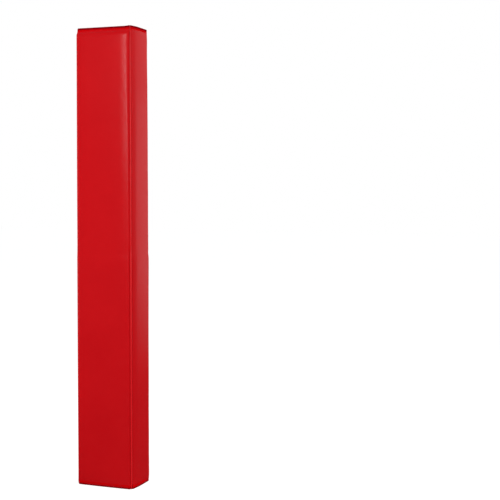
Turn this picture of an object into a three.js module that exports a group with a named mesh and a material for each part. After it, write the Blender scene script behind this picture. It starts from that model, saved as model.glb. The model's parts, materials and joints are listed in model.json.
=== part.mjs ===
// A wrap-round safety pad for a square basketball pole, 6 ft high.
// Three foam-filled vinyl panels stand round the pole: a front panel and two wings.
// Each wing turns about the welted seam at its front corner, where the foam is mitred.
// Webbing straps on the right wing close behind the pole, on patches on the left wing.
// Millimetres, +Z up, the front face towards -Y. The origin is on the floor, in the middle
// of the width and of the depth, straps included.

import * as THREE from "three";

// The pole that the pad wraps, and the room left at its sides and behind it
const poleSize = 102;
const poleSideRoom = 25;
const poleRearRoom = 1;

// The height of the pad, and the foam in each panel
const padHeight = 1829;
const foamThickness = 47;

// Vinyl sheet, and the gap left between pieces that touch
const vinyl = 1;
const gap = 0.3;

// The outer faces are slightly crowned, and drawn in to the seams at the top and bottom
const faceCrown = 1.5;
const topTuck = 5;
const topShoulder = 16;
const bottomTuck = 3;
const bottomShoulder = 10;

// Corner seams: a covered cord lies in the groove between the front panel and each wing
const seamDrop = 2.5;
const weltRadius = 2.6;
const mitreGap = 1;

// The faces roll into the corner seams, and the rear ends of the wings are rounded
const rollWidth = 28;
const rollPower = 2.4;
const rearRadius = 10;

// The shallow fold across the middle, where the two lengths of foam meet
const foldDepth = 1.5;
const foldReach = 16;

// Straps: webbing sewn to the right wing, with hook patches that meet loop patches
const strapCount = 4;
const strapEndMargin = 150;
const strapWidth = 50;
const strapTab = 10;
const strapCorner = 6;
const webbing = 2;
const patchThickness = 1.4;
const patchMargin = 3;
const patchCorner = 3;
const strapRestAngle = THREE.MathUtils.degToRad(3.5);

// How finely the curves are cut
const rollSteps = 6;
const crownSteps = 4;
const sideSteps = 3;
const cornerSteps = 4;
const shoulderSteps = 4;
const weltSides = 12;

// The section of the pad
const middle = padHeight / 2;
const panelThickness = foamThickness + faceCrown + 2 * (vinyl + gap);
const padWidth = poleSize + 2 * (poleSideRoom + panelThickness);
const padDepth = poleSize + poleRearRoom + panelThickness;
const seamInset = topTuck + faceCrown + seamDrop;
const seamX = padWidth / 2 - seamInset;
const weltClearance = weltRadius + gap;
const sheetBottom = vinyl + gap;
const sheetTop = padHeight - sheetBottom;

// The section of a wing, measured outwards and rearwards from its seam
const wingInnerX = seamInset - panelThickness;
const wingRearY = padDepth - seamInset;
const arcY = wingRearY - rearRadius;
const endInnerX = wingInnerX + rearRadius;
const endOuterX = seamInset - faceCrown - rearRadius;
const endWidth = endOuterX - endInnerX;
const endCentre = (endInnerX + endOuterX) / 2;

// The straps' length from their hinge lines, and how far the part reaches in depth
const strapLength = 2 * seamX + endInnerX + endOuterX + strapTab;
const strapProud = gap + webbing + strapLength * Math.sin(strapRestAngle);
const frontY = -(padDepth + strapProud) / 2;

// Materials
const redVinyl = new THREE.MeshStandardMaterial({ color: 0xc1141b, roughness: 0.38, metalness: 0 });
const redLining = new THREE.MeshStandardMaterial({ color: 0xa30f16, roughness: 0.6, metalness: 0 });
const greyFoam = new THREE.MeshStandardMaterial({ color: 0x5a5a5e, roughness: 0.95, metalness: 0 });
const blackWebbing = new THREE.MeshStandardMaterial({ color: 0x141416, roughness: 0.85, metalness: 0 });
const blackPile = new THREE.MeshStandardMaterial({ color: 0x0c0c0d, roughness: 1, metalness: 0 });

function piece(name, geometry, material) {
  const mesh = new THREE.Mesh(geometry, material);
  mesh.name = name;
  return mesh;
}

// A closed solid through rings of as many points each, given anticlockwise as seen from above
function loft(rings) {
  const count = rings[0].points.length;
  const positions = rings.flatMap((ring) => ring.points.flatMap(([x, y]) => [x, y, ring.z]));
  const indices = [];
  for (let level = 0; level + 1 < rings.length; level++) {
    for (let i = 0; i < count; i++) {
      const next = (i + 1) % count;
      const a = level * count + i;
      const b = level * count + next;
      indices.push(a, b, b + count, a, b + count, a + count);
    }
  }
  const lastRing = (rings.length - 1) * count;
  const flat = (ring) => ring.points.map(([x, y]) => new THREE.Vector2(x, y));
  for (const [a, b, c] of THREE.ShapeUtils.triangulateShape(flat(rings[0]), [])) {
    indices.push(a, c, b);
  }
  for (const [a, b, c] of THREE.ShapeUtils.triangulateShape(flat(rings.at(-1)), [])) {
    indices.push(lastRing + a, lastRing + b, lastRing + c);
  }
  const geometry = new THREE.BufferGeometry();
  geometry.setAttribute("position", new THREE.Float32BufferAttribute(positions, 3));
  geometry.setIndex(indices);
  geometry.computeVertexNormals();
  return geometry;
}

// The line seen in a mirror across the YZ plane, still anticlockwise
function mirrored(points) {
  return points.map(([x, y]) => [-x, y]).reverse();
}

// How far the outer faces are drawn in at a height: at both ends and at the fold
function drawnIn(z) {
  const topShare = Math.max(0, (z - padHeight + topShoulder) / topShoulder);
  const bottomShare = Math.max(0, (bottomShoulder - z) / bottomShoulder);
  const foldShare = Math.min(1, Math.abs(z - middle) / foldReach);
  const top = topTuck * (1 - Math.sqrt(1 - topShare ** 2));
  const bottom = bottomTuck * (1 - Math.sqrt(1 - bottomShare ** 2));
  return top + bottom + (foldDepth * (1 + Math.cos(Math.PI * foldShare))) / 2;
}

// The heights at which the faces change shape, between two heights
function stations(from, to) {
  const heights = [from, to, middle];
  for (const side of [-1, 1]) {
    heights.push(middle + side * foldReach, middle + (side * foldReach) / 2);
  }
  for (let step = 0; step < shoulderSteps; step++) {
    const share = Math.sin(((Math.PI / 2) * step) / shoulderSteps);
    heights.push(padHeight - topShoulder + topShoulder * share, bottomShoulder * (1 - share));
  }
  return heights.filter((z) => z >= from && z <= to).sort((a, b) => a - b);
}

// The roll of a face into a seam, in shares: how far along the roll, and how far down
function rollShares() {
  const shares = [];
  for (let step = 0; step <= rollSteps; step++) {
    const angle = ((Math.PI / 2) * step) / rollSteps;
    shares.push({
      along: Math.sin(angle) ** (2 / rollPower),
      down: 1 - Math.cos(angle) ** (2 / rollPower),
    });
  }
  return shares;
}

// The front panel's face at a height, from the left seam to the right, an inset below the surface
function frontFace(z, inset) {
  const rollStart = seamX - weltClearance - rollWidth;
  const edgeX = seamX - weltClearance - inset;
  const faceY = drawnIn(z) + inset;
  const drop = seamInset - gap - faceY - faceCrown;
  const crownAt = (x) => faceCrown * (x / edgeX) ** 2;
  const right = rollShares().map(({ along, down }) => {
    const x = rollStart + (edgeX - rollStart) * along;
    return [x, faceY + crownAt(x) + drop * down];
  });
  const centre = [];
  for (let step = 1; step < crownSteps; step++) {
    const x = rollStart * ((2 * step) / crownSteps - 1);
    centre.push([x, faceY + crownAt(x)]);
  }
  return [...mirrored(right), ...centre, ...right];
}

// The front panel's pole side, from the right seam down the mitre, along the back and up again
function frontBack(inset) {
  const edgeX = seamX - weltClearance - inset;
  const backY = panelThickness - inset;
  const mitreSum = seamX + seamInset - Math.SQRT2 * (mitreGap / 2 + inset);
  const right = [
    [edgeX, seamInset],
    [edgeX, mitreSum - edgeX],
    [mitreSum - backY, backY],
  ];
  return [...right, ...mirrored(right)];
}

// The right wing's side face and rear end at a height, from the seam, an inset below the surface
function wingFace(z, inset) {
  const drawn = drawnIn(z);
  const edgeY = weltClearance + inset;
  const rollEnd = weltClearance + rollWidth;
  const faceX = seamInset - drawn - inset;
  const drop = faceX - faceCrown - gap;
  const halfSpan = (arcY - weltClearance) / 2;
  const crownAt = (y) => faceCrown * ((y - weltClearance) / halfSpan - 1) ** 2;
  const line = rollShares()
    .map(({ along, down }) => {
      const y = rollEnd - (rollEnd - edgeY) * along;
      return [faceX - crownAt(y) - drop * down, y];
    })
    .reverse();
  for (let step = 1; step < sideSteps; step++) {
    const y = rollEnd + ((arcY - rollEnd) * step) / sideSteps;
    line.push([faceX - crownAt(y), y]);
  }
  const acrossRadius = rearRadius - inset;
  const alongRadius = rearRadius - drawn - inset;
  const angles = Array.from({ length: cornerSteps + 1 }, (_, step) => ((Math.PI / 2) * step) / cornerSteps);
  for (const angle of angles) {
    const x = endOuterX - drawn + acrossRadius * Math.cos(angle);
    line.push([x, arcY + alongRadius * Math.sin(angle)]);
  }
  for (const angle of angles) {
    const x = endInnerX - acrossRadius * Math.sin(angle);
    line.push([x, arcY + alongRadius * Math.cos(angle)]);
  }
  return line;
}

// The right wing's pole side, from its rear end to the mitre and down the mitre to the seam
function wingBack(inset) {
  const innerX = wingInnerX + inset;
  const edgeY = weltClearance + inset;
  const mitreSum = Math.SQRT2 * (mitreGap / 2 + inset);
  return [
    [innerX, arcY - gap],
    [innerX, mitreSum - innerX],
    [mitreSum - edgeY, edgeY],
    [0, edgeY],
  ];
}

// A sheet of vinyl between a line on the surface and the line under it
function sheet(outside, inside) {
  return [...outside, ...inside.toReversed()];
}

// The cover, lining, end pieces and two lengths of foam of one panel
function panelPieces(name, face, back) {
  const outline = (z, inset) => [...face(z, inset), ...back(inset)];
  const coverRing = (z) => ({ z, points: sheet(face(z, 0), face(z, vinyl)) });
  const liningRing = (z) => ({ z, points: sheet(back(0), back(vinyl)) });
  const foamRing = (z) => ({ z, points: outline(z, vinyl + gap) });
  const gusset = (from) => loft([from, from + vinyl].map((z) => ({ z, points: outline(from, 0) })));
  const foam = (from, to) => loft(stations(from, to).map(foamRing));
  return [
    piece(`${name}_cover`, loft(stations(sheetBottom, sheetTop).map(coverRing)), redVinyl),
    piece(`${name}_lining`, loft([sheetBottom, sheetTop].map(liningRing)), redLining),
    piece(`${name}_top_gusset`, gusset(padHeight - vinyl), redVinyl),
    piece(`${name}_bottom_gusset`, gusset(0), redVinyl),
    piece(`${name}_foam_lower`, foam(sheetBottom, middle - gap / 2), greyFoam),
    piece(`${name}_foam_upper`, foam(middle + gap / 2, sheetTop), greyFoam),
  ];
}

// An upright plate with rounded corners, centred on the origin, its thickness along Y
function plate(width, height, thickness, corner) {
  const right = width / 2;
  const top = height / 2;
  const shape = new THREE.Shape();
  shape.absarc(right - corner, corner - top, corner, -Math.PI / 2, 0);
  shape.absarc(right - corner, top - corner, corner, 0, Math.PI / 2);
  shape.absarc(corner - right, top - corner, corner, Math.PI / 2, Math.PI);
  shape.absarc(corner - right, corner - top, corner, Math.PI, (3 * Math.PI) / 2);
  const settings = { depth: thickness, bevelEnabled: false, curveSegments: cornerSteps };
  const geometry = new THREE.ExtrudeGeometry(shape, settings);
  return geometry.translate(0, 0, -thickness / 2).rotateX(Math.PI / 2);
}

// A cord in a corner seam, on the axis that the wing turns about
function welt(name, side) {
  const cord = new THREE.CylinderGeometry(weltRadius, weltRadius, padHeight - 2 * vinyl, weltSides);
  const mesh = piece(name, cord.rotateX(Math.PI / 2), redVinyl);
  mesh.position.set(side * seamX, frontY + seamInset, middle);
  return mesh;
}

// The sewn root of a strap, on the rear end of the right wing
function strapAnchor(number, z) {
  const mesh = piece(`strap_anchor_${number}`, plate(endWidth, strapWidth, webbing, patchCorner), blackWebbing);
  mesh.position.set(endCentre, wingRearY + gap + webbing / 2, z);
  return mesh;
}

// The patch that a strap closes on, on the rear end of the left wing
function loopPatch(number, z) {
  const mesh = piece(`loop_patch_${number}`, plate(endWidth, strapWidth, patchThickness, patchCorner), blackPile);
  mesh.position.set(-endCentre, wingRearY + gap + patchThickness / 2, z);
  return mesh;
}

// The free webbing of a strap with its hook patch, turned back a little from its hinge line
function strap(number, z) {
  const swing = new THREE.Group();
  swing.position.set(endInnerX, wingRearY + 2 * gap + webbing, z);
  swing.rotation.z = -strapRestAngle;
  const band = piece(`strap_${number}`, plate(strapLength, strapWidth, webbing, strapCorner), blackWebbing);
  band.position.set(-gap - strapLength / 2, -gap - webbing / 2, 0);
  const patchWidth = endWidth - 2 * patchMargin;
  const patchHeight = strapWidth - 2 * patchMargin;
  const hooks = plate(patchWidth, patchHeight, patchThickness, patchCorner);
  const patch = piece(`hook_patch_${number}`, hooks, blackPile);
  const patchX = strapTab + endWidth / 2 - strapLength;
  patch.position.set(patchX, -2 * gap - webbing - patchThickness / 2, 0);
  swing.add(band, patch);
  return swing;
}

const pad = new THREE.Group();

const frontPanel = new THREE.Group();
frontPanel.position.y = frontY;
frontPanel.add(...panelPieces("front", frontFace, frontBack));
pad.add(frontPanel, welt("left_corner_welt", -1), welt("right_corner_welt", 1));

const leftWing = new THREE.Group();
leftWing.position.set(-seamX, frontY + seamInset, 0);
const leftFace = (z, inset) => mirrored(wingFace(z, inset));
const leftBack = (inset) => mirrored(wingBack(inset));
leftWing.add(...panelPieces("left", leftFace, leftBack));
pad.add(leftWing);

const rightWing = new THREE.Group();
rightWing.position.set(seamX, frontY + seamInset, 0);
rightWing.add(...panelPieces("right", wingFace, wingBack));
pad.add(rightWing);

for (let number = 1; number <= strapCount; number++) {
  const share = (number - 1) / (strapCount - 1);
  const z = strapEndMargin + (padHeight - 2 * strapEndMargin) * share;
  leftWing.add(loopPatch(number, z));
  rightWing.add(strapAnchor(number, z), strap(number, z));
}

export default pad;
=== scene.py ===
"""A wrap-round safety pad for a square basketball pole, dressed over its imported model.

Three foam-filled panels of red vinyl stand round the pole: a front panel and two wings, which turn
about the welted seams at the front corners. Webbing straps on the right wing close behind the pole,
on patches on the left wing. Metres, +Z up, the front face towards -Y.
"""

import json
import math

import bmesh
import bpy
import numpy as np
from mathutils import Matrix, Vector, noise
from mathutils.bvhtree import BVHTree


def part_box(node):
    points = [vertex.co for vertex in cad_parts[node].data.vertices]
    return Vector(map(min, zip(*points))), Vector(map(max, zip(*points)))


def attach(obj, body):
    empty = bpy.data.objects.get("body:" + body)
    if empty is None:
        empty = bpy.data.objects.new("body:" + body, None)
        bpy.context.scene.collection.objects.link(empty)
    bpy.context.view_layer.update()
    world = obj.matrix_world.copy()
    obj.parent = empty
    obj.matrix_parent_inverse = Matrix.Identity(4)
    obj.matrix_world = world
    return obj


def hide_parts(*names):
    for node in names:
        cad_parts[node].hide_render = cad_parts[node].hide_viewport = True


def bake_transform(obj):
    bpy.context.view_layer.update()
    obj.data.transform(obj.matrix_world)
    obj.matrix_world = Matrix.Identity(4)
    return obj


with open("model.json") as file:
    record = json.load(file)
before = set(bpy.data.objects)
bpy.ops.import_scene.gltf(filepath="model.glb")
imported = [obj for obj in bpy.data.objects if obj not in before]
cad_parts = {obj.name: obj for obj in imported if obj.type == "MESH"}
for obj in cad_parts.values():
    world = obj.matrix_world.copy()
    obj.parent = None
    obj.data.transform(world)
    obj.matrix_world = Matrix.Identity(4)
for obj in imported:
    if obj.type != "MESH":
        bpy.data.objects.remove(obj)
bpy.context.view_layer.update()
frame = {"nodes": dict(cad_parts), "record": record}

# The pad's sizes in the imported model
PAD_HEIGHT = 1.829
MIDDLE = PAD_HEIGHT / 2
VINYL = 0.001
GAP = 0.0003
PANEL_THICKNESS = 0.0511
PAD_DEPTH = 0.1541
FRONT_Y = -0.084659
FACE_CROWN = 0.0015
SEAM_INSET = 0.009
SEAM_X = 0.1181
SEAM_Y = FRONT_Y + SEAM_INSET
WELT_RADIUS = 0.0026
WELT_CLEARANCE = WELT_RADIUS + GAP
WELT_FULLNESS = 0.0010
WELT_MEETING = math.radians(40)
WELT_FILL = 0.945
WELT_SLACK_SHARE = 0.2
MITRE_GAP = 0.001
REAR_RADIUS = 0.007
END_Z = VINYL + GAP
TOP_Z = PAD_HEIGHT - END_Z

# The front bulges between its seams, and the faces roll into them, most slackly at the top
FRONT_BULGE = 0.002
FULL_ROLL = 0.0075
SLACK_ROLL = 0.017
EDGE_EASE = 0.0017
EASE_REACH = 0.035
EASE_HEIGHTS = (0.5, 1.2)
SLACK_ROLL_HEIGHTS = (1.3, 1.7)
SIDE_ROLL = 0.030
SIDE_ROLL_SLOPE = 0.4
FOOT_ROLL = 0.004

# The faint fold across the middle, deeper at the corners
FOLD_Z = 0.936
FOLD_DEPTH = 0.0006
FOLD_CORNER_DEPTH = 0.0013
FOLD_REACH = 0.020

# A wing's section, outwards and rearwards from its seam
WING_INNER = SEAM_INSET - PANEL_THICKNESS
WING_REAR = PAD_DEPTH - SEAM_INSET
ARC_Y = WING_REAR - REAR_RADIUS
END_INNER = WING_INNER + REAR_RADIUS

# The sewn ends: the faces turn in over a shoulder to a narrow upright lip
TOP_TUCK = 0.0055
TOP_SHOULDER = 0.027
TOP_LIP = 0.016
TOP_SEAM_PULL = 0.0022
SLACK_SEAM_PULL = 0.0004
BOTTOM_TUCK = 0.0020
BOTTOM_SHOULDER = 0.012
BOTTOM_LIP = 0.0015
HEM_BULGE = 0.0014
HEM_Z = 0.018
HEM_REACH = 0.007
REAR_TUCK_SHARE = 0.15
END_DOME = 0.0015
END_SINK = 0.0003
END_RIM = 0.0004
END_RINGS = (1.0, 0.985, 0.95, 0.88, 0.75, 0.55, 0.3, 0.05)

# The linings and foam
LINING_PITCH = 0.012
FOAM_PITCH = 0.03
BEND_REACH = 0.003

# The tapes round the ends: a name, at the top or not, how far in from the end, how wide, and the finish
END_TAPES = (
    # The two dark bands in the binding finish are painted shade, the dark lines where the ends are sewn.
    ("top_painted_shade", True, 0.0022, 0.0042, "binding"),
    ("top_tape", True, 0.0060, 0.0110, "tape"),
    ("bottom_painted_shade", False, 0.0016, 0.0044, "binding"),
    ("bottom_tape", False, 0.0062, 0.0110, "hem"),
)
TAPE_ROWS = (0.0, 0.07, 0.25, 0.5, 0.75, 0.93, 1.0)
TAPE_PROUD = 0.0005
BINDING_RADIUS = 0.0019
BINDING_PROUD = 0.0009
TOP_BINDING_Z = 0.0007
BOTTOM_BINDING_Z = 0.0021

# How the top edge has settled: it lifts at the near corner and towards the rear
FAR_RISE = 0.0006
NEAR_RISE = 0.0021
REAR_RISE = 0.0032
CORNER_REACH = 0.012

# How the filling has settled: the lower half is fuller, and the upper half slackens upwards
LOWER_FILL = 0.0018
UPPER_SLACK = 0.0035
SLACK_Z = MIDDLE + 0.25
FULL_REACH = 0.03
FOOT_REACH = (0.002, 0.04)
FRONT_SLACK_SHARE = 0.4
SEAM_SLACK_SHARE = 0.3

# The covers as cloth, blown up a little between their seams
LEAST_STEP = 0.0016
ROW_PITCH = 0.009
CROWN_STEPS = 24
ROLL_STEPS = 6
SIDE_STEPS = 12
CORNER_STEPS = 5
SOFT_HOLD = 0.3
PRESSURE = 4.0
LAST_FRAME = 20
MOST_SWELL = 0.0008
MOST_SIDE_SWELL = 0.0005

# Puckers along the seams, and slow waves over the faces
PUCKER_DEPTH = 0.0004
PUCKER_PITCH = 0.017
PUCKER_REACH = 0.012
WAVE_DEPTH = 0.0007
WAVE_LENGTH = 0.16
PUCKER_SEEDS = {"front": 0.0, "left": 7.0, "right": 13.0}
LINING_WAVE = 0.0006
LINING_WAVE_LENGTH = 0.11
LINING_SEEDS = {"front": 0.0, "left": 4.0, "right": 9.0}

# Straps, patches and thread
STRAP_HEIGHTS = (0.150, 0.659667, 1.169333, 1.679)
STRAP_WIDTH = 0.050
WEBBING = 0.002
HINGE_X = 0.086
STRAP_END_X = -0.125645
STRAP_END_Y = 0.0837
STRAP_STEPS = 22
STRAP_BOW = 0.0016
ROOT_Y = 0.07078
STRAP_ROOT = ((0.1153, 0.07074), (0.104, 0.07074), (0.093, ROOT_Y))
WEBBING_STEPS = 12
CUT_RADIUS = 0.006
CUT_STEPS = (0.006, 0.0045, 0.003, 0.0018, 0.0008, 0.0)
THREAD_RADIUS = 0.00035
THREAD_RISE = 0.45
STITCH_PITCH = 0.0045
STITCH_LENGTH = 0.0034
ROOT_STITCH_Y = 0.0719
TAPE_STITCH_Y = 0.0845

# A stitch: how far along it, and how full the thread is there
STITCH_SHAPE = ((0.0, 0.35), (0.25, 0.9), (0.5, 1.0), (0.75, 0.9), (1.0, 0.35))

# The pile of the loop tape, and the hooks: how far off the strap, how bent and how thick
PILE_EDGE = 0.0003
PILE_HEIGHT = 0.0011
PILE_UNEVEN = 0.00035
PILE_GRAIN = 0.0011
HOOK_TAPE = 0.0009
HOOK_PITCH = 0.0022
HOOK_MARGIN = 0.002
HOOK_LEAN = 0.0004
HOOK_SHAPE = ((0.0008, 0.0, 0.0003), (0.0013, 0.3, 0.00025), (0.0014, 1.6, 0.0002))

# The camera, fitted to the pad's outline in the photograph: metres and radians
CAMERA_PLACE = (2.0293677, -3.8456962, 1.15757)
CAMERA_TURN = (1.5225662, -0.0022274, 0.3580975)
LENS_MM = 76.9104
SENSOR_MM = 36.0

# Where a drift's two tones lie in its noise, the sky's and floor's light, and how the lamps turn
DRIFT_RANGE = (0.3, 0.7)
WHITE = (1.0, 1.0, 1.0, 1)
SKY_LIGHT = 0.40
SKY_SLOPE = 0.36
FLOOR_GLOW = 0.76
FLOOR_REACH = 30.0
FLOOR_Z = -0.0004
LAMP_AIM = (0.0, 0.0, 1.0)
KEY_LEAN = math.radians(12.5)


def smooth(value, low, high):
    """A smooth step: nought below low, one above high."""
    share = min(1.0, max(0.0, (value - low) / (high - low)))
    return share * share * (3 - 2 * share)


# The pad's section at a height

def end_share(distance, shoulder, lip):
    """How far the faces have turned in near an end, as a share of the tuck."""
    if distance >= shoulder:
        return 0.0
    if distance <= lip:
        return 1.0
    turn = (shoulder - distance) / (shoulder - lip)
    return 1 - math.sqrt(1 - turn**2) if turn < 0.8 else 0.4 + 0.6 * smooth(turn, 0.6, 1.0) ** 0.8


def slackness(z):
    """Nought low down and one at the top, where the filling has sunk away."""
    rise = max(0.0, (z - SLACK_Z) / (PAD_HEIGHT - SLACK_Z))
    return rise**1.4


def fullness(z):
    """One below the fold, where the filling has settled, and nought above."""
    return 1 - smooth(z, FOLD_Z - FULL_REACH, FOLD_Z + FULL_REACH)


def filling(z, slack_share=1.0):
    """How far the faces stand proud at a height."""
    lower = LOWER_FILL * fullness(z) * smooth(z, *FOOT_REACH)
    return lower - UPPER_SLACK * slack_share * slackness(z)


def turned_in(z):
    """How far the faces turn in towards the sewn ends."""
    top = TOP_TUCK * end_share(PAD_HEIGHT - z, TOP_SHOULDER, TOP_LIP)
    bottom = BOTTOM_TUCK * end_share(z, BOTTOM_SHOULDER, BOTTOM_LIP)
    hem = HEM_BULGE * math.exp(-(((z - HEM_Z) / HEM_REACH) ** 2))
    return top + bottom - hem


def folded_in(z, near_corner):
    """How far the fold draws the faces in, more so near a corner."""
    share = min(1.0, abs(z - FOLD_Z) / FOLD_REACH)
    depth = FOLD_DEPTH + (FOLD_CORNER_DEPTH - FOLD_DEPTH) * near_corner
    return depth * (1 + math.cos(math.pi * share)) / 2


def away_from_ends(z):
    """One over most of the height, nought at the ends."""
    return smooth(PAD_HEIGHT - z, 0.004, 0.05) * smooth(z, *FOOT_REACH)


def seam_pull(z):
    """How far the corner seams are drawn in, both ways."""
    lip = TOP_SEAM_PULL * end_share(PAD_HEIGHT - z, TOP_SHOULDER, TOP_LIP)
    return lip + SLACK_SEAM_PULL * slackness(z)


def welt_clearance(z):
    """How far the panels' edges keep from a welt's axis."""
    return WELT_CLEARANCE + WELT_FULLNESS * fullness(z)


def tighter_below(z, roll):
    """A roll's width, tighter at the foot, where the corners are square."""
    return FOOT_ROLL + (roll - FOOT_ROLL) * smooth(z, 0.0, 0.05)


def roll_shares():
    """The roll into a seam, in shares: how far along, and how far down."""
    angles = [math.pi / 2 * step / ROLL_STEPS for step in range(ROLL_STEPS + 1)]
    return [(math.sin(angle), 1 - math.cos(angle)) for angle in angles]


def front_face(z, inset=0.0):
    """The front panel's face at a height, from left to right."""
    pull = seam_pull(z)
    edge = SEAM_X - welt_clearance(z) * math.cos(WELT_MEETING) - pull - inset
    roll = FULL_ROLL + (SLACK_ROLL - FULL_ROLL) * smooth(z, *SLACK_ROLL_HEIGHTS)
    roll_start = edge - tighter_below(z, roll)
    level = turned_in(z) - filling(z, FRONT_SLACK_SHARE) + inset
    bulge = FRONT_BULGE * away_from_ends(z)
    ease = EDGE_EASE * smooth(z, *EASE_HEIGHTS) * away_from_ends(z)
    drop = SEAM_INSET + pull - welt_clearance(z) * math.sin(WELT_MEETING) - level - FACE_CROWN - ease

    def depth(x):
        share = min(1.0, (x / edge) ** 2)
        eased = ease * max(0.0, (abs(x) - edge + EASE_REACH) / EASE_REACH) ** 2
        fold = folded_in(z, share**3) * min(1.0, 2 * (1 - share))
        return level + FACE_CROWN * share - bulge * (1 - share) + eased + fold

    right = []
    for along, down in roll_shares():
        x = roll_start + (edge - roll_start) * along
        right.append((x, depth(x) + drop * down))
    centre = []
    for step in range(1, CROWN_STEPS):
        x = roll_start * math.sin(math.pi * (step / CROWN_STEPS - 0.5))
        centre.append((x, depth(x)))
    left = [(-x, y) for x, y in reversed(right)]
    return [(x, FRONT_Y + y) for x, y in left + centre + right]


def wing_face(z, inset=0.0):
    """The right wing's face at a height, from the seam and round the rear end."""
    pull = seam_pull(z)
    edge = welt_clearance(z) * math.cos(WELT_MEETING) + pull + inset
    roll_end = edge + tighter_below(z, SIDE_ROLL)
    end_out = welt_clearance(z) * math.sin(WELT_MEETING) - pull - inset
    half_span = (ARC_Y - WELT_CLEARANCE) / 2

    def out(y):
        """How far out the side face is."""
        share = min(1.0, ((y - WELT_CLEARANCE) / half_span - 1) ** 2)
        turned = turned_in(z) * (1 - (1 - REAR_TUCK_SHARE) * smooth(y, 0.0, 0.06))
        fold = folded_in(z, share**2) * smooth(y, edge, edge + 0.006)
        slack = SEAM_SLACK_SHARE + (1 - SEAM_SLACK_SHARE) * smooth(y, 0.0, ARC_Y)
        return SEAM_INSET - inset - turned + filling(z, slack) - fold - FACE_CROWN * share

    line = []
    for along, down in reversed(roll_shares()):
        down += SIDE_ROLL_SLOPE * (along**2 - down)
        y = roll_end - (roll_end - edge) * along
        line.append((out(y) - (out(y) - end_out) * down, y))
    for step in range(1, SIDE_STEPS):
        y = roll_end + (ARC_Y - roll_end) * step / SIDE_STEPS
        line.append((out(y), y))
    end_x = out(ARC_Y)
    across = REAR_RADIUS - inset
    rearwards = across - REAR_TUCK_SHARE * turned_in(z)
    angles = [math.pi / 2 * step / CORNER_STEPS for step in range(CORNER_STEPS + 1)]
    for angle in angles:
        line.append((end_x - across * (1 - math.cos(angle)), ARC_Y + rearwards * math.sin(angle)))
    line.append(((end_x - across + END_INNER) / 2, ARC_Y + rearwards))
    for angle in angles:
        line.append((END_INNER - across * math.sin(angle), ARC_Y + rearwards * math.cos(angle)))
    return [(SEAM_X + x, SEAM_Y + y) for x, y in line]


def front_back(z, inset=0.0):
    """The front panel's pole side: down the right mitre, along and up the left."""
    pull = seam_pull(z)
    edge = SEAM_X - welt_clearance(z) - pull - inset
    back = PANEL_THICKNESS - inset
    mitre = SEAM_X + SEAM_INSET - math.sqrt(2) * (MITRE_GAP / 2 + inset)
    right = [(edge, SEAM_INSET + pull), (edge, mitre - edge), (mitre - back, back)]
    left = [(-x, y) for x, y in reversed(right)]
    return [(x, FRONT_Y + y) for x, y in right + left]


def wing_back(z, inset=0.0):
    """The right wing's pole side: from its rear end, and down the mitre."""
    pull = seam_pull(z)
    inner = WING_INNER + inset
    edge = welt_clearance(z) + pull + inset
    mitre = math.sqrt(2) * (MITRE_GAP / 2 + inset)
    line = [(inner, ARC_Y - GAP), (inner, mitre - inner), (mitre - edge, edge), (-pull, edge)]
    return [(SEAM_X + x, SEAM_Y + y) for x, y in line]


def mirrored(line_at):
    """The left wing's lines: the right wing's in a mirror, still anticlockwise."""

    def line(z, inset=0.0):
        return [(-x, y) for x, y in reversed(line_at(z, inset))]

    return line


PANELS = (
    ("front", "front_panel", front_face, front_back),
    ("left", "left_wing", mirrored(wing_face), mirrored(wing_back)),
    ("right", "right_wing", wing_face, wing_back),
)


# Meshes

def add_object(name, data):
    made = bpy.data.objects.new(name, data)
    bpy.context.scene.collection.objects.link(made)
    return made


def new_object(name, vertices, faces, finish):
    """A smooth-shaded mesh object."""
    mesh = bpy.data.meshes.new(name)
    mesh.from_pydata([tuple(v) for v in vertices], [], faces)
    mesh.validate()
    mesh.shade_smooth()
    mesh.materials.append(materials[finish])
    return add_object(name, mesh)


def new_sheet(name, rows, finish):
    """An open sheet, from rows of points that run anticlockwise, the lowest first."""
    points = [point for row in rows for point in row]
    return new_object(name, points, grid_faces(len(rows), len(rows[0])), finish)


def new_solid(name, solid, finish):
    """A solid's object, with its faces turned outwards."""
    made = new_object(name, *solid, finish)
    work = bmesh.new()
    work.from_mesh(made.data)
    bmesh.ops.recalc_face_normals(work, faces=work.faces)
    work.to_mesh(made.data)
    work.free()
    return made


def bake_modifiers(made):
    """Replaces a mesh by what its modifiers make of it."""
    bpy.context.view_layer.update()
    graph = bpy.context.evaluated_depsgraph_get()
    mesh = bpy.data.meshes.new_from_object(made.evaluated_get(graph))
    made.modifiers.clear()
    made.data = mesh


def ring_stack(rings, open_start=False):
    """A solid's points and faces: rings, with a flat cap at the last and the first."""
    ring = len(rings[0])
    last = (len(rings) - 1) * ring
    faces = grid_faces(len(rings), ring, wrapped=True)
    faces.append(tuple(range(last, last + ring)))
    if not open_start:
        faces.append(tuple(reversed(range(ring))))
    return [point for line in rings for point in line], faces


def plate(outer, inner, columns):
    """The points and faces of a closed plate, from the grids of its two faces."""
    count = len(outer)
    faces = grid_faces(count // columns, columns)
    faces += [tuple(count + i for i in reversed(face)) for face in faces]
    rim = list(range(columns))
    rim += range(2 * columns - 1, count, columns)
    rim += range(count - 2, count - columns - 1, -1)
    rim += range(count - 2 * columns, 0, -columns)
    for a, b in zip(rim, rim[1:] + rim[:1]):
        faces.append((b, a, a + count, b + count))
    return outer + inner, faces


def joined(solids):
    """Several solids' points and faces, as one list of each."""
    points = []
    faces = []
    for solid_points, solid_faces in solids:
        base = len(points)
        points += solid_points
        faces += [tuple(base + i for i in face) for face in solid_faces]
    return points, faces


def circle(centre, side, other, radius, count):
    """Points on a circle, in the plane of two directions."""
    angles = [2 * math.pi * step / count for step in range(count)]
    return [centre + radius * (math.cos(a) * side + math.sin(a) * other) for a in angles]


def read_places(mesh):
    places = np.zeros(len(mesh.vertices) * 3)
    mesh.vertices.foreach_get("co", places)
    return places.reshape(-1, 3)


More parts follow.
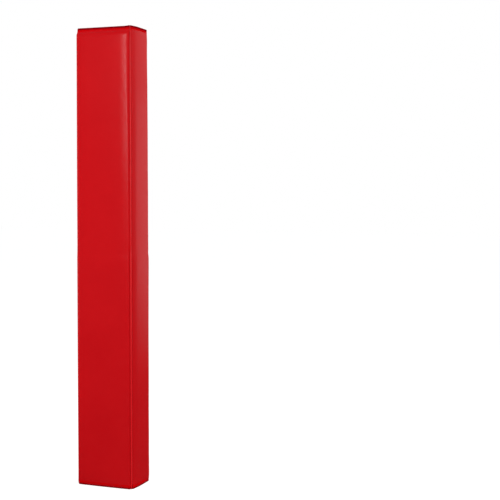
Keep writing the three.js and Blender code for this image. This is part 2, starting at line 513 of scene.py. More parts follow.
def write_places(mesh, places):
    mesh.vertices.foreach_set("co", np.array(places).ravel())
    mesh.update()


def normals_of(mesh):
    return np.array([normal.vector for normal in mesh.vertex_normals])


def grid_faces(rows, columns, wrapped=False):
    """The faces of a grid: columns run anticlockwise, and rows run up."""
    faces = []
    for row in range(rows - 1):
        for column in range(columns if wrapped else columns - 1):
            a = row * columns + column
            b = row * columns + (column + 1) % columns
            faces.append((a, b, b + columns, a + columns))
    return faces


def thicken(made, thickness):
    """Gives a sheet its thickness on its inner side."""
    solid = made.modifiers.new("thickness", "SOLIDIFY")
    solid.thickness = thickness
    solid.offset = -1
    solid.use_even_offset = True
    bake_modifiers(made)


def refine(made):
    """Subdivides a mesh once, with its open corners kept."""
    finer = made.modifiers.new("finer", "SUBSURF")
    finer.levels = 1
    finer.render_levels = 1
    finer.boundary_smooth = "PRESERVE_CORNERS"
    bake_modifiers(made)


def heights(low, high, pitch):
    """Heights from low to high, closer together at both ends and at the fold."""
    found = [low]
    while found[-1] < high:
        z = found[-1]
        near = min(z - low + LEAST_STEP, high - z + LEAST_STEP, abs(z - FOLD_Z) * 0.4 + 0.01)
        found.append(z + min(pitch, max(LEAST_STEP, near * 0.45)))
    kept = found[:-1] if high - found[-2] > LEAST_STEP / 2 else found[:-2]
    return kept + [high]


# The covers

def held_weights(levels, columns, ring):
    """The points of a shell that hold still, and those at the fold that nearly do."""
    firm = []
    soft = []
    for row, z in enumerate(levels):
        at_end = z < BOTTOM_LIP or z > PAD_HEIGHT - TOP_LIP
        for column in range(ring):
            if at_end or column == 0 or column >= columns - 1:
                firm.append(row * ring + column)
            elif abs(z - FOLD_Z) < 0.006:
                soft.append(row * ring + column)
    return firm, soft


def blow_up(shell, firm, soft):
    """Lets a closed shell swell as cloth, and gives its points' new places."""
    held = shell.vertex_groups.new(name="held")
    held.add(firm, 1.0, "REPLACE")
    held.add(soft, SOFT_HOLD, "REPLACE")
    cloth = shell.modifiers.new("cloth", "CLOTH")
    settings = cloth.settings
    settings.quality = 6
    settings.mass = 0.3
    settings.tension_stiffness = 30
    settings.compression_stiffness = 30
    settings.bending_stiffness = 1.5
    settings.shrink_min = -0.006
    settings.use_pressure = True
    settings.uniform_pressure_force = PRESSURE
    settings.vertex_group_mass = "held"
    settings.effector_weights.gravity = 0
    cloth.collision_settings.use_collision = False
    cloth.point_cache.frame_start = 1
    cloth.point_cache.frame_end = LAST_FRAME
    for number in range(1, LAST_FRAME + 1):
        bpy.context.scene.frame_set(number)
    graph = bpy.context.evaluated_depsgraph_get()
    swollen = read_places(shell.evaluated_get(graph).data)
    bpy.context.scene.frame_set(1)
    return swollen


def capped(rest, swollen, outwards, most):
    """The swollen points, moved only outwards, and no further than most."""
    out = np.sum((swollen - rest) * outwards, axis=1, keepdims=True)
    return rest + outwards * most * np.tanh(np.maximum(out, 0.0) / np.maximum(most, 1e-6))


def most_swelling(name, rest):
    """How far each point may swell: little in the rolls, drawn tight."""
    most = MOST_SWELL if name == "front" else MOST_SIDE_SWELL
    free = [smooth(seam_distance(name, Vector(point)), 0.008, 0.045) for point in rest]
    return most * np.array(free)[:, None]


def cover_points(name, face, back):
    """A cover's outer face as rows of points, swollen by its filling."""
    levels = heights(END_Z, TOP_Z, ROW_PITCH)
    points, faces = ring_stack([[(x, y, z) for x, y in face(z) + back(z)] for z in levels])
    rest = np.array(points)
    ring = len(points) // len(levels)
    columns = len(face(MIDDLE))
    shell = new_object(name + "_shell", points, faces, "vinyl")
    outwards = normals_of(shell.data)
    swollen = blow_up(shell, *held_weights(levels, columns, ring))
    bpy.data.objects.remove(shell)
    rest = capped(rest, swollen, outwards, most_swelling(name, rest))
    return rest.reshape(len(levels), ring, 3)[:, :columns]


def settled(name, point):
    """Where a point has settled, on a panel or a welt."""
    from_corner = math.hypot(point.x - SEAM_X, point.y - SEAM_Y)
    near = math.exp(-((from_corner / CORNER_REACH) ** 2))
    if name == "front":
        rise = FAR_RISE * smooth(-point.x, 0.0, SEAM_X) * (1 - near) + NEAR_RISE * near
    else:
        start = NEAR_RISE if point.x > 0 else FAR_RISE
        rise = start + (REAR_RISE - start) * smooth(point.y, SEAM_Y, SEAM_Y + WING_REAR)
    up = rise * smooth(point.z, PAD_HEIGHT - 0.05, PAD_HEIGHT - 0.002)
    return point + Vector((0, 0, up))


def settle(made, name):
    """Shifts a piece's points to where they have settled."""
    write_places(made.data, [settled(name, Vector(place)) for place in read_places(made.data)])


def seam_distance(name, point):
    """How far a point on a cover is from the nearest seam."""
    if name == "front":
        return SEAM_X - WELT_CLEARANCE - abs(point.x)
    return max(0.0, point.y - SEAM_Y - WELT_CLEARANCE)


def move_along_normals(made, amount):
    """Moves a mesh's points along their normals, by an amount for each place."""
    places = read_places(made.data)
    moves = np.array([amount(Vector(place)) for place in places])
    write_places(made.data, places + normals_of(made.data) * moves[:, None])


def pucker(made, name):
    """Adds puckers along the seams and slow waves to a cover."""
    seed = PUCKER_SEEDS[name]

    def amount(point):
        from_end = min(point.z, PAD_HEIGHT - point.z)
        from_seam = max(0.0, seam_distance(name, point))
        free = smooth(from_end, 0.003, 0.02) * smooth(from_seam, 0.0, 0.006)
        along_seam = Vector((point.z / PUCKER_PITCH, seed, 0.3))
        across = Vector((point.x / PUCKER_PITCH, point.y / PUCKER_PITCH, seed + 3))
        puckers = math.exp(-from_seam / PUCKER_REACH) * noise.noise(along_seam)
        puckers += math.exp(-from_end / PUCKER_REACH) * noise.noise(across)
        wave = noise.noise(point / WAVE_LENGTH + Vector((seed, 0, 0)))
        return free * (PUCKER_DEPTH * puckers + WAVE_DEPTH * wave)

    move_along_normals(made, amount)


def make_cover(name, body, face, back):
    """The vinyl sheet over a panel's outer face."""
    made = new_sheet(name + "_cover_sheet", cover_points(name, face, back), "vinyl")
    refine(made)
    pucker(made, name)
    thicken(made, VINYL)
    settle(made, name)
    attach(made, body)
    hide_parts(name + "_cover")
    return made


# The linings, end pieces, bindings and foam

def run_count(length):
    """How many steps a straight run has, the same at every height."""
    if length < 0.01:
        return 1
    return 5 if length < 0.075 else 12


def rounded(line, steps):
    """The line with its corners rounded, and points along its runs."""
    points = [Vector(p) for p in line]
    found = [points[0]]
    for before, corner, after in zip(points, points[1:], points[2:]):
        reach = min(BEND_REACH, (before - corner).length / 2.5, (after - corner).length / 2.5)
        start = corner + (before - corner).normalized() * reach
        end = corner + (after - corner).normalized() * reach
        for step in range(steps + 1):
            t = step / steps
            found.append(start * (1 - t) ** 2 + corner * 2 * t * (1 - t) + end * t**2)
    found.append(points[-1])
    dense = [found[0]]
    for point in found[1:]:
        base = dense[-1]
        count = run_count((point - base).length)
        dense += [base.lerp(point, step / count) for step in range(1, count + 1)]
    return dense


def lining_wave(point, seed):
    """How far a loose lining stands off its flat, between its seams."""
    from_seam = math.hypot(abs(point.x) - SEAM_X, point.y - SEAM_Y)
    free = smooth(min(point.z, PAD_HEIGHT - point.z), 0.0, 0.05) * smooth(from_seam, 0.004, 0.03)
    return LINING_WAVE * free * noise.noise(point / LINING_WAVE_LENGTH + Vector((seed, 5, 0)))


def make_lining(name, body, back):
    """The vinyl sheet on a panel's pole side, with its mitre leaves."""
    levels = heights(END_Z, TOP_Z, LINING_PITCH)
    rows = [[(p.x, p.y, z) for p in rounded(back(z), 3)] for z in levels]
    made = new_sheet(name + "_lining_sheet", rows, "lining")
    move_along_normals(made, lambda point: lining_wave(point, LINING_SEEDS[name]))
    thicken(made, VINYL)
    settle(made, name)
    width = sum((Vector(a) - Vector(b)).length for a, b in zip(back(MIDDLE), back(MIDDLE)[1:]))
    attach(made, body)
    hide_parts(name + "_lining")


def spine_of(outline):
    """The ends of a long section's middle line, half its thickness in."""
    low = Vector(np.min(outline, axis=0))
    high = Vector(np.max(outline, axis=0))
    size = high - low
    reach = (size - Vector((min(size), min(size)))) / 2
    centre = (low + high) / 2
    return centre - reach, centre + reach


def drawn_to_spine(outline, share):
    """The outline drawn towards its middle line, to a share of its distance."""
    start, end = spine_of(outline)
    along = end - start
    found = []
    for x, y in outline:
        point = Vector((x, y))
        place = min(1.0, max(0.0, (point - start).dot(along) / along.length_squared))
        foot = start + along * place
        found.append(foot + (point - foot) * share)
    return found


def flat_area(outline):
    """The area inside an outline."""
    pairs = zip(outline, outline[1:] + outline[:1])
    return abs(sum(a[0] * b[1] - b[0] * a[1] for a, b in pairs)) / 2


def make_end(name, body, face, back, top):
    """The vinyl end piece of a panel, at the top domed by its foam."""
    z = TOP_Z if top else END_Z
    surface = PAD_HEIGHT - END_SINK if top else END_SINK
    dome = END_DOME if top else 0.0
    outline = face(z) + back(z)
    rings = []
    for share in END_RINGS:
        height = surface + dome * (1 - share**2)
        if share == 1.0:
            height -= END_RIM if top else -END_RIM
        rings.append([(p.x, p.y, height) for p in drawn_to_spine(outline, share)])
    points, faces = ring_stack(rings, open_start=True)
    if not top:
        faces = [tuple(reversed(f)) for f in faces]
    node = f"{name}_{'top' if top else 'bottom'}_gusset"
    made = new_object(node + "_sheet", points, faces, "vinyl")
    thicken(made, VINYL * 0.7)
    settle(made, name)
    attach(made, body)
    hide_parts(node)
    flat_area(outline)


def tube(name, path, radii, sides, finish, closed=False):
    """A tube along a path of points, with a radius at each."""
    count = len(path)
    rings = []
    for i, centre in enumerate(path):
        before = path[(i - 1) % count] if closed or i else path[0]
        after = path[(i + 1) % count] if closed or i + 1 < count else path[-1]
        ahead = (after - before).normalized()
        upright = Vector((0, 0, 1)) if abs(ahead.z) < 0.9 else Vector((0, 1, 0))
        side = ahead.cross(upright).normalized()
        rings.append(circle(centre, side, side.cross(ahead), radii[i], sides))
    points, faces = ring_stack(rings)
    if closed:
        last = (count - 1) * sides
        faces[-2:] = [(last + i, last + (i + 1) % sides, (i + 1) % sides, i) for i in range(sides)]
    return new_solid(name, (points, faces), finish)


def make_binding(name, body, face, back, top):
    """The rolled seam allowance between end piece and cover."""
    z = PAD_HEIGHT - TOP_BINDING_Z if top else BOTTOM_BINDING_Z
    end_z = TOP_Z if top else END_Z
    inset = BINDING_RADIUS - BINDING_PROUD
    outline = face(end_z, inset) + rounded(back(end_z, inset), 2)[1:-1]
    path = [Vector((p[0], p[1], z)) for p in outline]
    label = f"{name}_{'top' if top else 'bottom'}_binding"
    # The binding's dark finish is painted shade along the top and bottom edges.
    made = tube(label, path, [BINDING_RADIUS] * len(path), 10, "binding", closed=True)
    settle(made, name)
    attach(made, body)


def make_tape(name, body, face, label, top, edge, width, finish):
    """A tape round a cover's end, without the vinyl's gloss."""
    rows = []
    for share in TAPE_ROWS:
        proud = TAPE_PROUD * (0.2 if share in (0.0, 1.0) else 1.0)
        z = edge + width * share
        z = PAD_HEIGHT - z if top else z
        rows.append([(x, y, z) for x, y in face(z, -proud)])
    if top:
        rows.reverse()
    made = new_sheet(f"{name}_{label}", rows, finish)
    thicken(made, TAPE_PROUD * 0.8)
    settle(made, name)
    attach(made, body)


def make_foam(name, body, face, back, upper):
    """One length of foam inside a panel, with softened ends."""
    inset = VINYL + GAP
    low = MIDDLE + GAP / 2 if upper else END_Z
    high = TOP_Z if upper else MIDDLE - GAP / 2
    rings = []
    for z in heights(low, high, FOAM_PITCH):
        share = 1 - 0.03 * (1 - smooth(min(z - low, high - z), 0.0, 0.006))
        outline = face(z, inset) + back(z, inset)
        rings.append([(p.x, p.y, z) for p in drawn_to_spine(outline, share)])
    node = f"{name}_foam_{'upper' if upper else 'lower'}"
    made = new_object(node + "_core", *ring_stack(rings), "foam")
    settle(made, name)
    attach(made, body)
    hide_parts(node)


# The welts

def make_welt(side):
    """The cord in a corner seam, which tapers at both ends."""
    name = "left" if side < 0 else "right"
    path = []
    radii = []
    for z in heights(0.0006, PAD_HEIGHT - 0.0015, 0.006):
        pull = seam_pull(z)
        path.append(Vector((side * (SEAM_X - pull), SEAM_Y + pull, z)))
        end = min(smooth(PAD_HEIGHT - z, 0.002, 0.019), smooth(z, 0.0, 0.02))
        wrap = WELT_FILL + 0.01 * noise.noise(Vector((z / 0.013, side * 5.0, 1.0)))
        wrap -= WELT_SLACK_SHARE * slackness(z)
        radii.append(welt_clearance(z) * wrap * (0.5 + 0.5 * end))
    # The piping finish's brighter red is painted light along the welt.
    made = tube(name + "_welt_piping", path, radii, 14, "piping")
    settle(made, "front")
    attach(made, "front_panel")
    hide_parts(name + "_corner_welt")


# Stitching

def spindle(start, end):
    """The points and faces of one stitch, fuller in its middle."""
    ahead = end - start
    side = ahead.orthogonal().normalized()
    other = ahead.normalized().cross(side)
    rings = []
    for along, width in STITCH_SHAPE:
        rings.append(circle(start + ahead * along, side, other, THREAD_RADIUS * width, 6))
    return ring_stack(rings)


def along_line(line):
    """Pairs of places along a line, a stitch apart."""
    total = np.cumsum([0.0] + [(b - a).length for a, b in zip(line, line[1:])])
    starts = np.arange(int((total[-1] - STITCH_LENGTH) / STITCH_PITCH) + 1) * STITCH_PITCH

    def at(distances):
        axes = [np.interp(distances, total, axis) for axis in zip(*line)]
        return [Vector(place) for place in zip(*axes)]

    return zip(at(starts), at(starts + STITCH_LENGTH))


def sew(name, lines, cloth, body, thread):
    """Stitches along lines, each laid on the cloth beneath it."""
    tree = BVHTree.FromObject(cloth, bpy.context.evaluated_depsgraph_get())

    def laid(place):
        on_cloth, normal, _, _ = tree.find_nearest(place)
        return on_cloth + normal * THREAD_RADIUS * THREAD_RISE

    pairs = [pair for line in lines for pair in along_line(line)]
    made = new_solid(name, joined([spindle(laid(start), laid(end)) for start, end in pairs]), thread)
    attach(made, body)


def hem_lines(face):
    """The lines of stitching round a panel's two ends."""
    levels = (PAD_HEIGHT - TOP_SHOULDER * 0.7, BOTTOM_SHOULDER * 0.85)
    return [[Vector((x, y, z)) for x, y in face(z)][3:-3] for z in levels]


# The straps and patches

def strap_bow(share):
    """How far a strap bows rearwards at a share of its length."""
    return STRAP_BOW * math.sin(math.pi * share) * smooth(share, 0.0, 0.3)


def strap_line():
    """A strap's middle line from above, from its sewn root to its cut end."""
    line = [Vector(place) for place in STRAP_ROOT]
    start = Vector((HINGE_X - GAP, ROOT_Y))
    end = Vector((STRAP_END_X, STRAP_END_Y))
    for step in range(STRAP_STEPS + 1):
        share = step / STRAP_STEPS
        line.append(start.lerp(end, share) + Vector((0, strap_bow(share))))
    back = (line[-2] - line[-1]).normalized()
    return line[:-1] + [line[-1] + back * left for left in CUT_STEPS]


def strap_half_width(left):
    """A strap's half width, with a length left to its rounded end."""
    depth = max(0.0, CUT_RADIUS - left)
    return STRAP_WIDTH / 2 - CUT_RADIUS + math.sqrt(CUT_RADIUS**2 - depth**2)


def webbing_ring(centre, out, half, z, number):
    """The points round a strap at a place, thinner at its two edges."""
    ring = []
    for side in (1, -1):
        for step in range(WEBBING_STEPS + 1):
            share = (step / WEBBING_STEPS * 2 - 1) * side
            edge = 1 - 0.45 * max(0.0, abs(share) - 0.9) / 0.1
            place = centre + out * side * WEBBING / 2 * edge
            curl = 0.0004 * noise.noise(Vector((centre.x / 0.05, share * 2, number * 3.0)))
            ring.append((place.x, place.y + curl, z + share * half))
    return ring


def make_strap(number, z):
    """A strap of webbing, sewn to the right wing at its root."""
    line = strap_line()
    rings = []
    for before, centre, after in zip(line[:1] + line, line, line[1:] + line[-1:]):
        ahead = (after - before).normalized()
        half = strap_half_width((centre - line[-1]).length)
        rings.append(webbing_ring(centre, Vector((ahead.y, -ahead.x)), half, z, number))
    made = new_solid(f"webbing_{number}", ring_stack(rings), "webbing")
    refine(made)
    sew_strap(number, z, made)
    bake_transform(made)
    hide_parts(f"strap_{number}", f"strap_anchor_{number}")


def box_and_cross(left, right, low, high, y):
    """The lines of a sewn box, and then of its cross."""
    corners = [(left, y, low), (right, y, low), (right, y, high), (left, y, high)]
    a, b, c, d = [Vector(corner) for corner in corners]
    return [[a, b], [b, c], [c, d], [d, a], [a, c], [b, d]]


def patch_border(low, high, inset, y):
    """The lines of stitching just inside a patch's edges."""
    return box_and_cross(low.x + inset, high.x - inset, low.z + inset, high.z - inset, y)[:4]


def sew_strap(number, z, webbing):
    """The box at a strap's root, and the row that holds its hook tape."""
    thread = "black_thread"
    reach = STRAP_WIDTH / 2 - 0.005
    root = box_and_cross(0.0935, 0.1115, z - reach, z + reach, ROOT_STITCH_Y)
    sew(f"root_stitches_{number}", root, webbing, "right_wing", thread)
    tape = patch_border(*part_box(f"hook_patch_{number}"), 0.001, TAPE_STITCH_Y)
    sew(f"tape_stitches_{number}", tape, webbing, f"free_strap_{number}", thread)


def tape_places(low, high, across, up):
    """Places over a tape, row by row: across, and up."""
    places = []
    for row in range(up + 1):
        for column in range(across + 1):
            x = low.x + (high.x - low.x) * column / across
            places.append((x, low.z + (high.z - low.z) * row / up))
    return places


def make_loop_tape(number):
    """The loop tape on the rear end of the left wing, that a strap closes on."""
    low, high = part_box(f"loop_patch_{number}")
    grid = tape_places(low, high, 30, 50)
    outer = []
    for x, z in grid:
        edge = min(x - low.x, high.x - x, z - low.z, high.z - z)
        fine = noise.noise(Vector((x / PILE_GRAIN, z / PILE_GRAIN, number * 2.0)))
        lift = (PILE_HEIGHT + PILE_UNEVEN * fine) * smooth(edge, 0.0, 0.0012)
        outer.append((x, low.y + PILE_EDGE + lift, z))
    solid = plate(outer, [(x, low.y, z) for x, z in grid], 31)
    made = new_solid(f"loop_tape_{number}", solid, "pile")
    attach(made, "left_wing")
    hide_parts(f"loop_patch_{number}")
    border = patch_border(low, high, 0.0022, high.y)
    sew(f"loop_stitches_{number}", border, made, "left_wing", "black_thread")


def make_hook_tape(number):
    """The hook tape on the inner face of a strap's end."""
    low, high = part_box(f"hook_patch_{number}")
    ahead = Vector((STRAP_END_X - HINGE_X, STRAP_END_Y - ROOT_Y, 0)).normalized()
    out = Vector((ahead.y, -ahead.x, 0))

    def place(x, z, off):
        share = (x - HINGE_X) / (STRAP_END_X - HINGE_X)
        y = ROOT_Y + (STRAP_END_Y - ROOT_Y) * share + strap_bow(share)
        return Vector((x, y, z)) - out * (WEBBING / 2 + off)

    grid = tape_places(low, high, 8, 12)
    outer = [place(x, z, HOOK_TAPE) for x, z in grid]
    tape = plate(outer, [place(x, z, 0.0) for x, z in grid], 9)
    solid = joined([tape] + hooks_over(low, high, place))
    made = new_solid(f"hook_tape_{number}", solid, "pile")
    for face in made.data.polygons[len(tape[1]) :]:
        face.use_smooth = False
    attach(made, f"free_strap_{number}")
    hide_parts(f"hook_patch_{number}")


def hooks_over(low, high, place):
    """Rows of small bent hooks, which lean up and down in turn."""
    hooks = []
    for row in range(int((high.z - low.z - 2 * HOOK_MARGIN) / HOOK_PITCH) + 1):
        z = low.z + HOOK_MARGIN + row * HOOK_PITCH
        lean = HOOK_LEAN if row % 2 else -HOOK_LEAN
        for column in range(int((high.x - low.x - 2 * HOOK_MARGIN) / HOOK_PITCH) + 1):
            x = low.x + HOOK_MARGIN + column * HOOK_PITCH
            rings = []
            for off, shift, half in HOOK_SHAPE:
                corners = ((-half, -half), (half, -half), (half, half), (-half, half))
                rings.append([place(x + dx, z + dz + shift * lean, off) for dx, dz in corners])
            hooks.append(ring_stack(rings, open_start=True))
    return hooks


# Materials

def set_inputs(owner, node, **values):
    """Gives a node's inputs by name."""
    for name, value in values.items():
        set_input(owner, node.inputs[name.replace("_", " ")], value)
    return node


def set_input(owner, target, value):
    """Gives an input a value, or another node's output."""
    if isinstance(value, bpy.types.NodeSocket):
        owner.node_tree.links.new(value, target)
    else:
        target.default_value = value


def set_shader(material, **values):
    """Gives the inputs of a material's shader."""
    set_inputs(material, material.node_tree.nodes["Principled BSDF"], **values)
    return material


def new_material(name, color, roughness, **values):
    """A material with its shader's values set."""
    material = bpy.data.materials.new(name)
    material.use_nodes = True
    return set_shader(material, Base_Color=(*color, 1), Roughness=roughness, **values)


def add_node(owner, kind, **values):
    """A node of a material or the world, with its inputs."""
    return set_inputs(owner, owner.node_tree.nodes.new("ShaderNode" + kind), **values)


def math_node(owner, operation, *values):
    """The result of a sum, on outputs or numbers."""
    node = add_node(owner, "Math")
    node.operation = operation
    for target, value in zip(node.inputs, values):
        set_input(owner, target, value)
    return node.outputs["Value"]


def place_node(owner, kind="Object"):
    """The place that patterns follow."""
    return add_node(owner, "TexCoord").outputs[kind]


def coordinates(owner, kind="Object"):
    return add_node(owner, "SeparateXYZ", Vector=place_node(owner, kind)).outputs


def pattern(material, kind, output, **values):
    """A texture over the object, as one of its outputs."""
    return add_node(material, kind, Vector=place_node(material), **values).outputs[output]


def vary_color(material, scale, low, high):
    """Colour that drifts between two tones."""
    drift = pattern(material, "TexNoise", "Fac", Scale=scale, Detail=3.0)
    ramp = add_node(material, "ValToRGB", Fac=drift)
    for stop, place, tone in zip(ramp.color_ramp.elements, DRIFT_RANGE, (low, high)):
        stop.position = place
        stop.color = (*tone, 1)
    set_shader(material, Base_Color=ramp.outputs["Color"])
    return ramp.outputs["Color"]


def vary_roughness(material, scale, low, high):
    """Roughness that drifts between two values."""
    drift = pattern(material, "TexNoise", "Fac", Scale=scale, Detail=4.0)
    spread = add_node(material, "MapRange", Value=drift, To_Min=low, To_Max=high)
    set_inputs(material, spread, From_Min=DRIFT_RANGE[0], From_Max=DRIFT_RANGE[1])
    set_shader(material, Roughness=spread.outputs["Result"])


def wave_along(material, along, pitch):
    return math_node(material, "SINE", math_node(material, "MULTIPLY", along, 2 * math.pi / pitch))


def scrim_height(material, pitch):
    """The woven scrim that shows through coated fabric, as a height."""
    place = coordinates(material)
    across = math_node(material, "ADD", place["X"], place["Y"])
    weft = wave_along(material, place["Z"], pitch)
    return math_node(material, "ADD", wave_along(material, across, pitch), weft)


def grain_height(material, scale, detail=4.0):
    """Fine grain, as a height."""
    return pattern(material, "TexNoise", "Fac", Scale=scale, Detail=detail, Roughness=0.6)


def add_bump(material, *layers):
    """Bumps, one after another: a height, a strength and a depth each."""
    before = {}
    for height, strength, depth in layers:
        bump = add_node(material, "Bump", Height=height, Strength=strength, Distance=depth, **before)
        before = {"Normal": bump.outputs["Normal"]}
    return set_shader(material, **before)


def vinyl_material():
    """Satin PVC-coated fabric: a fine grain over a faint scrim."""
    made = new_material("red_vinyl", (0.53, 0.004, 0.007), 0.4, Specular_IOR_Level=0.05)
    vary_color(made, 5.0, (0.515, 0.0035, 0.0065), (0.545, 0.0045, 0.0075))
    vary_roughness(made, 28.0, 0.2, 0.26)
    scrim = scrim_height(made, 0.0012)
    grain = grain_height(made, 1400.0, detail=2.0)
    return add_bump(made, (scrim, 0.15, 0.00002), (grain, 0.1, 0.00005))


def piping_material():
    """The same fabric over a cord, in a brighter red that is painted light on the welt's ridge."""
    made = new_material("red_piping_painted_light", (0.64, 0.005, 0.009), 0.3, Specular_IOR_Level=0.2)
    vary_color(made, 25.0, (0.62, 0.0045, 0.0085), (0.66, 0.0055, 0.0095))
    vary_roughness(made, 90.0, 0.28, 0.36)
    return add_bump(made, (grain_height(made, 1400.0, detail=2.0), 0.1, 0.00005))


def lining_material():
    """Matte PVC-coated fabric, with its scrim plainer to see."""
    made = new_material("red_lining", (0.366, 0.005, 0.008), 0.6, Specular_IOR_Level=0.3)
    vary_color(made, 9.0, (0.345, 0.0045, 0.0075), (0.385, 0.0055, 0.0085))
    vary_roughness(made, 60.0, 0.55, 0.68)
    scrim = scrim_height(made, 0.0016)
    return add_bump(made, (scrim, 0.5, 0.00008), (grain_height(made, 900.0), 0.3, 0.0001))


def binding_material():
    """The rolled seam allowance, in a dark red that is painted shade: the shadowed gap where the end
    pieces meet the covers.
    """
    made = new_material("red_binding_painted_shade", (0.25, 0.002, 0.005), 0.7, Specular_IOR_Level=0.0)
    vary_color(made, 60.0, (0.23, 0.0015, 0.004), (0.27, 0.0025, 0.006))
    return add_bump(made, (grain_height(made, 900.0), 0.4, 0.0001))


def tape_material(name, red):
    """The woven tape round the ends, in a full red; the hem's lighter red is painted light, the bright
    band at the foot.
    """
    made = new_material(name, (red, 0.0015, 0.003), 0.7, Specular_IOR_Level=0.0)
    vary_color(made, 40.0, (red - 0.02, 0.0013, 0.0025), (red + 0.02, 0.0017, 0.0035))
    scrim = scrim_height(made, 0.0009)
    return add_bump(made, (scrim, 0.6, 0.00006), (grain_height(made, 1200.0), 0.3, 0.00008))


def foam_material():
    """Closed-cell foam with open pores on its cut faces."""
    made = new_material("grey_foam", (0.103, 0.103, 0.112), 0.95)
    vary_color(made, 30.0, (0.09, 0.09, 0.1), (0.12, 0.12, 0.13))
    pores = pattern(made, "TexVoronoi", "Distance", Scale=700.0)
    return add_bump(made, (pores, 0.7, 0.0004))


def webbing_material():
    """Black woven polypropylene: ribs along the strap, crossed by the weft."""
    black = (0.007, 0.007, 0.008)
    made = new_material("black_webbing", black, 0.7, Sheen_Weight=0.15, Sheen_Roughness=0.5)
    vary_color(made, 300.0, (0.0055, 0.0055, 0.0065), (0.0095, 0.0095, 0.0105))
    place = coordinates(made)
    weft = wave_along(made, place["Z"], 0.0016)
    weave = math_node(made, "MULTIPLY", wave_along(made, place["X"], 0.0024), weft)
    return add_bump(made, (weave, 0.8, 0.0003), (grain_height(made, 3000.0), 0.3, 0.00005))


def pile_material():
    """Hook-and-loop tape: a fuzzy, uneven black."""
    black = (0.004, 0.004, 0.004)
    made = new_material("black_pile", black, 0.95, Sheen_Weight=0.4, Sheen_Roughness=0.6)
    vary_color(made, 700.0, (0.003, 0.003, 0.003), (0.008, 0.008, 0.008))
    return add_bump(made, (grain_height(made, 2500.0), 0.8, 0.0003))


def thread_material(name, color):
    """Bonded thread, with the twist of its strands."""
    made = new_material(name, color, 0.6)
    vary_color(made, 500.0, [c * 0.85 for c in color], [c * 1.15 for c in color])
    twist = pattern(made, "TexWave", "Fac", Scale=900.0, Distortion=1.0)
    twist.node.bands_direction = "DIAGONAL"
    return add_bump(made, (twist, 0.5, 0.0001))


materials = {
    "vinyl": vinyl_material(),
    "lining": lining_material(),
    "binding": binding_material(),
    "tape": tape_material("red_tape", 0.54),
    # The hem's lighter red is painted light: the bright band along the foot.
    "hem": tape_material("red_hem_painted_light", 0.61),
    "piping": piping_material(),
    "foam": foam_material(),
    "webbing": webbing_material(),
    "pile": pile_material(),
    "red_thread": thread_material("red_thread", (0.36, 0.006, 0.01)),
    "black_thread": thread_material("black_thread", (0.012, 0.012, 0.013)),
}


def dress_nodes():
    """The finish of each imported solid, hidden ones too."""
    finishes = {m["node"]: m["material_slot"] for m in frame["record"]["subparts"]}
    for name, node in frame["nodes"].items():
        node.data.materials.clear()
        node.data.materials.append(materials[finishes[name]])


# The stage

def seen_rays(owner, rays, glossy):
    """One for rays that show things, nought for rays that light; glossy rays have their own."""
    seen = math_node(owner, "MAXIMUM", rays["Is Camera Ray"], glossy)
    return math_node(owner, "MAXIMUM", seen, rays["Is Transmission Ray"])


def make_world():
    """A sky that lights more from the right, seen as plain white."""
    world = bpy.data.worlds.new("studio")
    bpy.context.scene.world = world
    world.use_nodes = True
    world.node_tree.nodes.clear()
    slope = math_node(world, "MULTIPLY", coordinates(world, "Generated")["X"], SKY_SLOPE)
    light = add_node(world, "Background", Color=WHITE, Strength=math_node(world, "ADD", slope, SKY_LIGHT))
    seen = add_node(world, "Background", Color=WHITE, Strength=1.0)
    rays = add_node(world, "LightPath").outputs
    mix = add_node(world, "MixShader", Fac=seen_rays(world, rays, rays["Is Glossy Ray"]))
    set_input(world, mix.inputs[1], light.outputs["Background"])
    set_input(world, mix.inputs[2], seen.outputs["Background"])
    add_node(world, "OutputWorld", Surface=mix.outputs["Shader"])


def floor_material():
    """A pale floor, seen as white as the sky.

    Gloss sees it in a painted dark near the pad, a painted dark reflection in the pad's lower faces, and
    white in the distance.
    """
    made = new_material("pale_floor", (0.6, 0.61, 0.61), 0.9, Specular_IOR_Level=0.0)
    pale = vary_color(made, 1.5, (0.595, 0.605, 0.605), (0.605, 0.615, 0.615))
    distance = add_node(made, "VectorMath", Vector=place_node(made))
    distance.operation = "LENGTH"
    fade = add_node(made, "MapRange", Value=distance.outputs["Value"], From_Min=2.5, From_Max=7.0)
    fade.interpolation_type = "SMOOTHSTEP"
    rays = add_node(made, "LightPath").outputs
    white = math_node(made, "MULTIPLY", rays["Is Glossy Ray"], fade.outputs["Result"])
    # Painted dark reflection: glossy rays near the pad see the floor as dark grey.
    dark = math_node(made, "SUBTRACT", rays["Is Glossy Ray"], white)
    tone = add_node(made, "MixRGB", Fac=dark, Color1=pale, Color2=(0.08, 0.08, 0.08, 1))
    glow = math_node(made, "MULTIPLY", seen_rays(made, rays, white), FLOOR_GLOW)
    set_shader(made, Emission_Color=WHITE, Emission_Strength=glow)
    return set_shader(made, Base_Color=tone.outputs["Color"])


def make_floor():
    """A wide, plain floor, which keeps the pad's shadow."""
    materials["floor"] = floor_material()
    corners = [(-1, -1), (1, -1), (1, 1), (-1, 1)]
    points = [(FLOOR_REACH * x, FLOOR_REACH * y, FLOOR_Z) for x, y in corners]
    floor = new_object("floor", points, [(0, 1, 2, 3)], "floor")


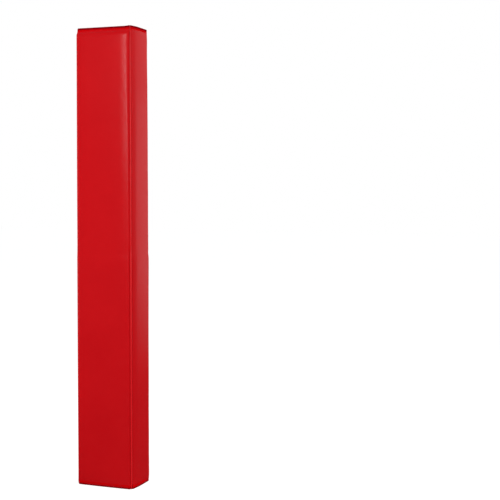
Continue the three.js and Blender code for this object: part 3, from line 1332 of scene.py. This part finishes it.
def make_lamp(name, place, width, height, power, lean=0.0):
    """A soft box aimed at the pad's middle, its top leaning to the left."""
    lamp = bpy.data.lights.new(name, "AREA")
    lamp.shape = "RECTANGLE"
    lamp.size = width
    lamp.size_y = height
    lamp.energy = power
    made = add_object(name, lamp)
    aim = (Vector(LAMP_AIM) - Vector(place)).to_track_quat("-Z", "Y")
    turn = aim.to_matrix().to_4x4() @ Matrix.Rotation(lean, 4, "Z")
    made.matrix_world = Matrix.Translation(place) @ turn
    made.visible_camera = False
    return made


def make_lamps():
    """A key in two lengths and a fill before the pad, one box beside it and one behind."""
    make_lamp("key", (-0.45, -2.96, 2.1), 0.2, 1.6, 56.0, KEY_LEAN)
    make_lamp("low_key", (-0.19, -3.0, 1.1), 0.2, 1.2, 5.5, KEY_LEAN)
    make_lamp("fill", (-1.55, -2.7, 2.4), 1.5, 1.5, 4.0)
    side = make_lamp("side", (2.8, 1.1, 2.2), 1.6, 1.8, 52.0)
    side.visible_glossy = False
    make_lamp("back", (1.8, 3.3, 1.2), 1.0, 1.4, 3.0)


def make_camera():
    """The photograph's camera."""
    lens = bpy.data.cameras.new("camera")
    lens.sensor_width = SENSOR_MM
    lens.lens = LENS_MM
    lens.clip_end = 200.0
    camera = add_object("camera", lens)
    camera.location = CAMERA_PLACE
    camera.rotation_euler = CAMERA_TURN
    bpy.context.scene.camera = camera


def make_panel(name, body, face, back):
    """All the pieces of one panel."""
    make_foam(name, body, face, back, upper=False)
    make_foam(name, body, face, back, upper=True)
    cover = make_cover(name, body, face, back)
    make_lining(name, body, back)
    for top in (False, True):
        make_end(name, body, face, back, top)
        make_binding(name, body, face, back, top)
    for tape in END_TAPES:
        make_tape(name, body, face, *tape)
    sew(name + "_hem_stitches", hem_lines(face), cover, body, "red_thread")


def main():
    bpy.context.scene.view_settings.view_transform = "Standard"
    make_camera()
    make_world()
    make_floor()
    make_lamps()
    dress_nodes()
    for panel in PANELS:
        make_panel(*panel)
    for side in (-1, 1):
        make_welt(side)
    for number, z in enumerate(STRAP_HEIGHTS, start=1):
        make_strap(number, z)
        make_loop_tape(number)
        make_hook_tape(number)


main()
